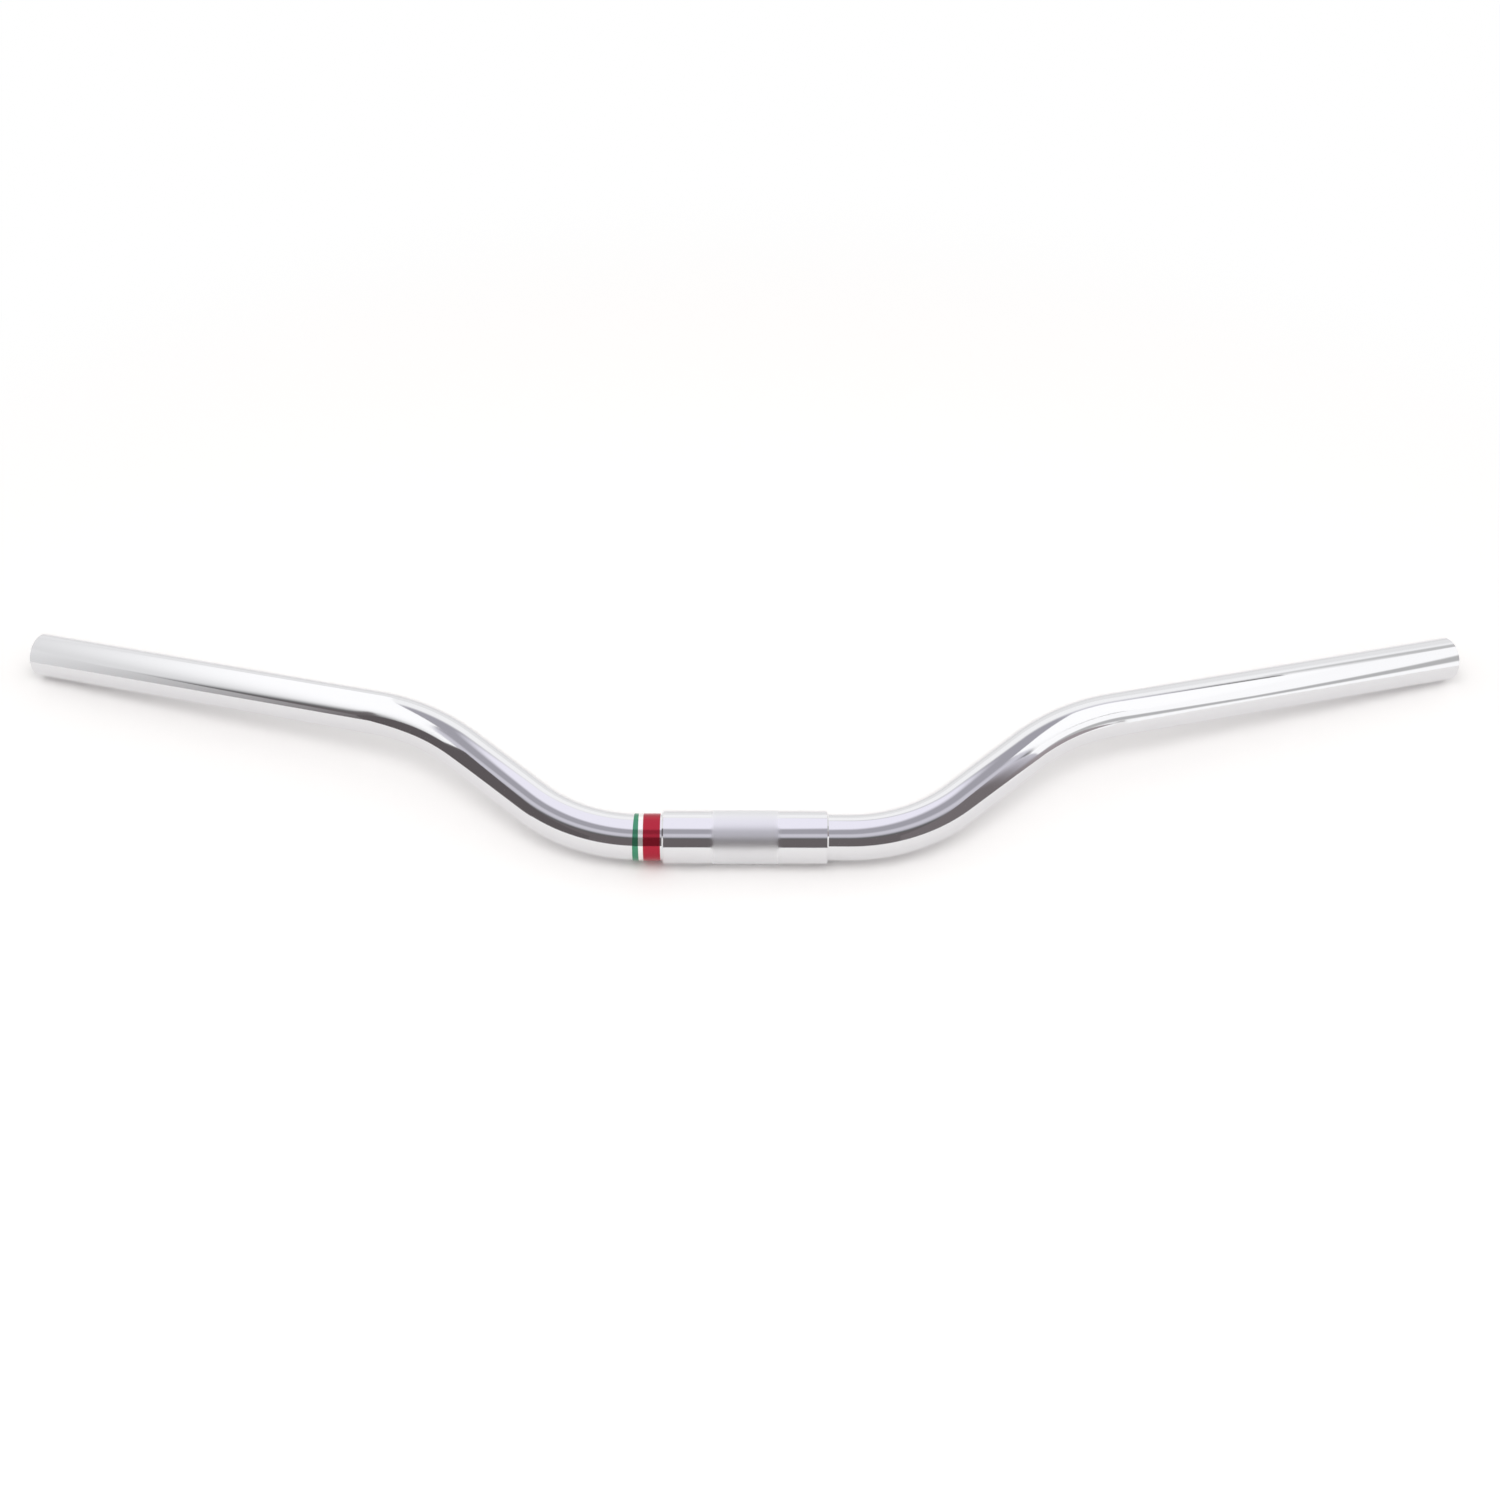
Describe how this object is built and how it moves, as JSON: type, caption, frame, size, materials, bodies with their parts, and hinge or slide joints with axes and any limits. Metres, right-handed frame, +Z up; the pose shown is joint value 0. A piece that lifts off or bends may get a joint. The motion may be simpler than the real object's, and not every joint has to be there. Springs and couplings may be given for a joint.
{
  "type": "riser handlebar",
  "caption": "Riser handlebar: a polished bent aluminium tube with a thicker clamp sleeve in the middle, swept grips and open ends.",
  "frame": {"origin": "centre of the clamp sleeve, on its axis", "axes": "+X along the clamp axis to the right-hand grip as pictured, +Y from the clamp towards the grips, +Z up as the bar lies on a flat surface"},
  "size_m": [0.7402, 0.1594, 0.0365],
  "materials": {
    "tube_polish": "polished to a mirror",
    "sleeve_polish": "turned and polished, satin in the middle",
    "film": "thin glossy film, red with a white and a green stripe"
  },
  "bodies": {
    "root": {"handlebar_tube": "tube_polish", "clamp_sleeve": "sleeve_polish", "film_band": "film"}
  },
  "joints": []
}
